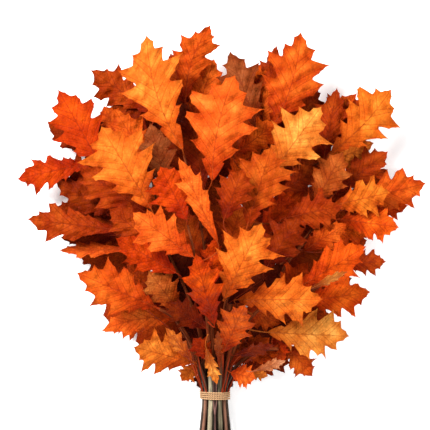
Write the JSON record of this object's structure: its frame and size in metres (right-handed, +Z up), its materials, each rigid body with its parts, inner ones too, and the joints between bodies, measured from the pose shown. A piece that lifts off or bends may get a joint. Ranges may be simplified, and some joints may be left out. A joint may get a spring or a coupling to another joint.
{
  "type": "bunch of autumn oak leaves",
  "caption": "Tied bunch of leafy oak branches in autumn colours, with lobed leaves fanning out from woody stems bound with jute twine, lying flat for decoration",
  "frame": {"origin": "on the table, in the flat underside of the leaf at the back of the bunch", "axes": "+Z up from the table, +Y along the stems from the cut ends to the leaves, +X to the right as seen from above"},
  "size_m": [0.605, 0.6555, 0.1995],
  "materials": {
    "oak_leaf": "dry autumn leaf, orange to dark red, satin",
    "bark": "rough grey-brown bark",
    "jute": "natural twisted jute"
  },
  "bodies": {
    "root": {"front_left_stem": "oak_leaf", "front_right_stem": "oak_leaf", "right_front_stem": "oak_leaf", "left_front_stem": "oak_leaf", "left_middle_stem": "oak_leaf", "right_middle_stem": "oak_leaf", "centre_stem": "oak_leaf", "centre_right_stem": "oak_leaf", "right_stem": "oak_leaf", "low_right_stem": "oak_leaf", "top_right_stem": "oak_leaf", "top_stem": "oak_leaf", "top_left_stem": "oak_leaf", "left_stem": "oak_leaf", "back_stem": "oak_leaf", "forked_twig": "bark", "twine_tie": "jute"}
  },
  "joints": []
}
